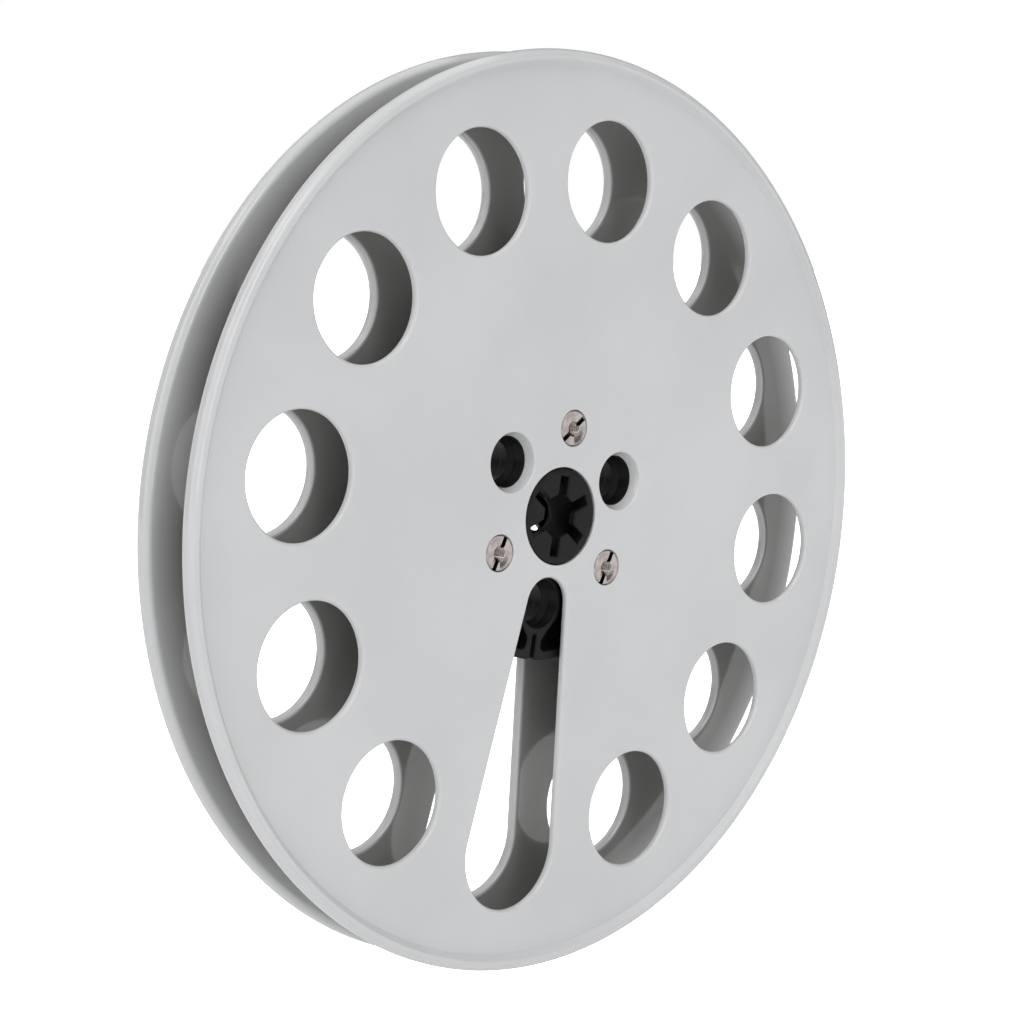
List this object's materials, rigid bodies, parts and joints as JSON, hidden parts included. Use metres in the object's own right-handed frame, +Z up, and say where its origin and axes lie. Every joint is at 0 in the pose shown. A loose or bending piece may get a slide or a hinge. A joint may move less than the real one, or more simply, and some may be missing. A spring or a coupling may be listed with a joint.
{
  "type": "flanged film take-up reel",
  "caption": "Flanged take-up reel for narrow film or tape: two pierced plastic flanges with a teardrop leader slot, bolted to a ribbed black hub with a splined spindle hole.",
  "frame": {"origin": "the reel's centre: on the axle, half way between the two flanges", "axes": "+Y along the axle away from the front face, so the front face looks towards -Y; +Z up; the leader slot hangs near -Z"},
  "size_m": [0.178, 0.0162, 0.178],
  "materials": {
    "flange_plastic": "light grey moulded plastic, fine satin texture outside, polished inside the gap",
    "hub_plastic": "black moulded plastic, semi-matt",
    "nickel_plate": "bright nickel plate with fine turning marks"
  },
  "bodies": {
    "root": {"front_flange": "flange_plastic", "back_flange": "flange_plastic", "hub": "hub_plastic", "barrel_nut_1": "nickel_plate", "barrel_nut_2": "nickel_plate", "barrel_nut_3": "nickel_plate", "clamp_screw_1": "nickel_plate", "clamp_screw_2": "nickel_plate", "clamp_screw_3": "nickel_plate"}
  },
  "joints": []
}
